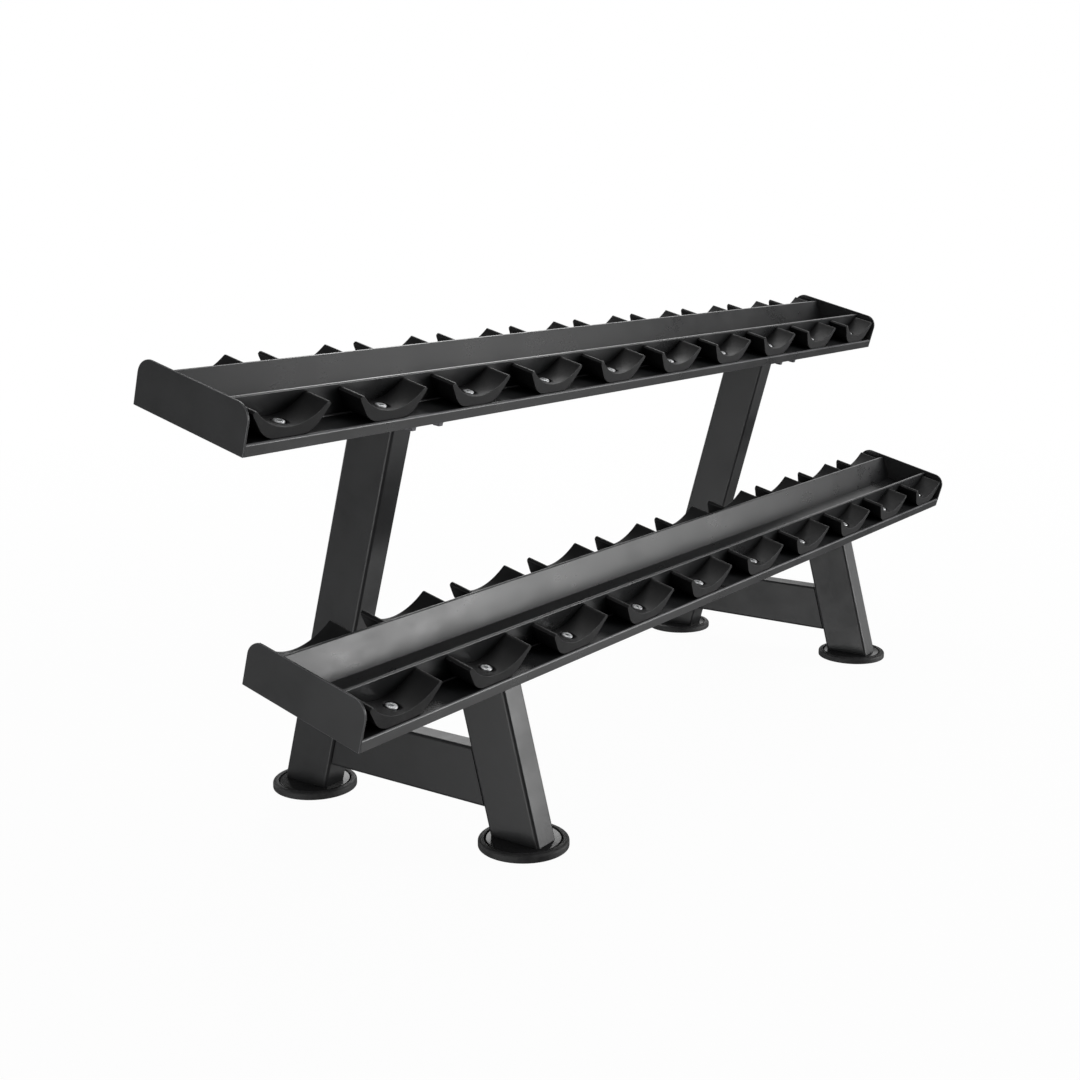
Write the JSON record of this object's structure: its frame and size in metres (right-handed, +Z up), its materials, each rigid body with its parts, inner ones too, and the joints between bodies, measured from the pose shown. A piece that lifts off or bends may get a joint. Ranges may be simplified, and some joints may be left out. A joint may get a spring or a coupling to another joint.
{
  "type": "dumbbell rack",
  "caption": "Free-standing two-tier rack with tilted shelves, a centre tray and moulded saddles that cradle dumbbell heads, on leaning tube frames with round rubber feet.",
  "frame": {"origin": "centre of the bounding box on the floor plane", "axes": "+X along the rack to the right as seen from the front, +Y towards the back, +Z up"},
  "size_m": [2.4, 0.677, 0.8898],
  "materials": {
    "frame_coat": "satin fine-texture powder coat",
    "shelf_coat": "satin fine-texture powder coat",
    "base_gloss": "gloss black enamel",
    "foot_rubber": "matt moulded rubber",
    "bolt_zinc": "bright zinc plate",
    "fastener_steel": "black-oxide steel",
    "saddle_plastic": "matt moulded urethane plastic"
  },
  "bodies": {
    "root": {"left_rear_post": "frame_coat", "right_rear_post": "frame_coat", "left_front_leg": "frame_coat", "right_front_leg": "frame_coat", "left_brace": "frame_coat", "right_brace": "frame_coat", "left_brace_flange": "frame_coat", "right_brace_flange": "frame_coat", "upper_left_bearer": "frame_coat", "upper_right_bearer": "frame_coat", "lower_left_bearer": "frame_coat", "lower_right_bearer": "frame_coat", "left_post_top_plate": "frame_coat", "right_post_top_plate": "frame_coat", "left_leg_top_plate": "frame_coat", "right_leg_top_plate": "frame_coat", "upper_shelf": "shelf_coat", "lower_shelf": "shelf_coat", "upper_centre_tray": "shelf_coat", "lower_centre_tray": "shelf_coat", "upper_left_end_plate": "shelf_coat", "upper_right_end_plate": "shelf_coat", "lower_left_end_plate": "shelf_coat", "lower_right_end_plate": "shelf_coat", "left_front_base_disc": "base_gloss", "right_front_base_disc": "base_gloss", "left_rear_base_disc": "base_gloss", "right_rear_base_disc": "base_gloss", "left_front_foot": "foot_rubber", "right_front_foot": "foot_rubber", "left_rear_foot": "foot_rubber", "right_rear_foot": "foot_rubber", "saddle_bolts": "bolt_zinc", "saddle_nuts": "fastener_steel", "frame_bolts": "fastener_steel", "frame_nuts": "fastener_steel", "upper_saddles_01": "saddle_plastic", "upper_saddles_02": "saddle_plastic", "upper_saddles_03": "saddle_plastic", "upper_saddles_04": "saddle_plastic", "upper_saddles_05": "saddle_plastic", "upper_saddles_06": "saddle_plastic", "upper_saddles_07": "saddle_plastic", "upper_saddles_08": "saddle_plastic", "upper_saddles_09": "saddle_plastic", "upper_saddles_10": "saddle_plastic", "lower_saddles_01": "saddle_plastic", "lower_saddles_02": "saddle_plastic", "lower_saddles_03": "saddle_plastic", "lower_saddles_04": "saddle_plastic", "lower_saddles_05": "saddle_plastic", "lower_saddles_06": "saddle_plastic", "lower_saddles_07": "saddle_plastic", "lower_saddles_08": "saddle_plastic", "lower_saddles_09": "saddle_plastic", "lower_saddles_10": "saddle_plastic"}
  },
  "joints": []
}
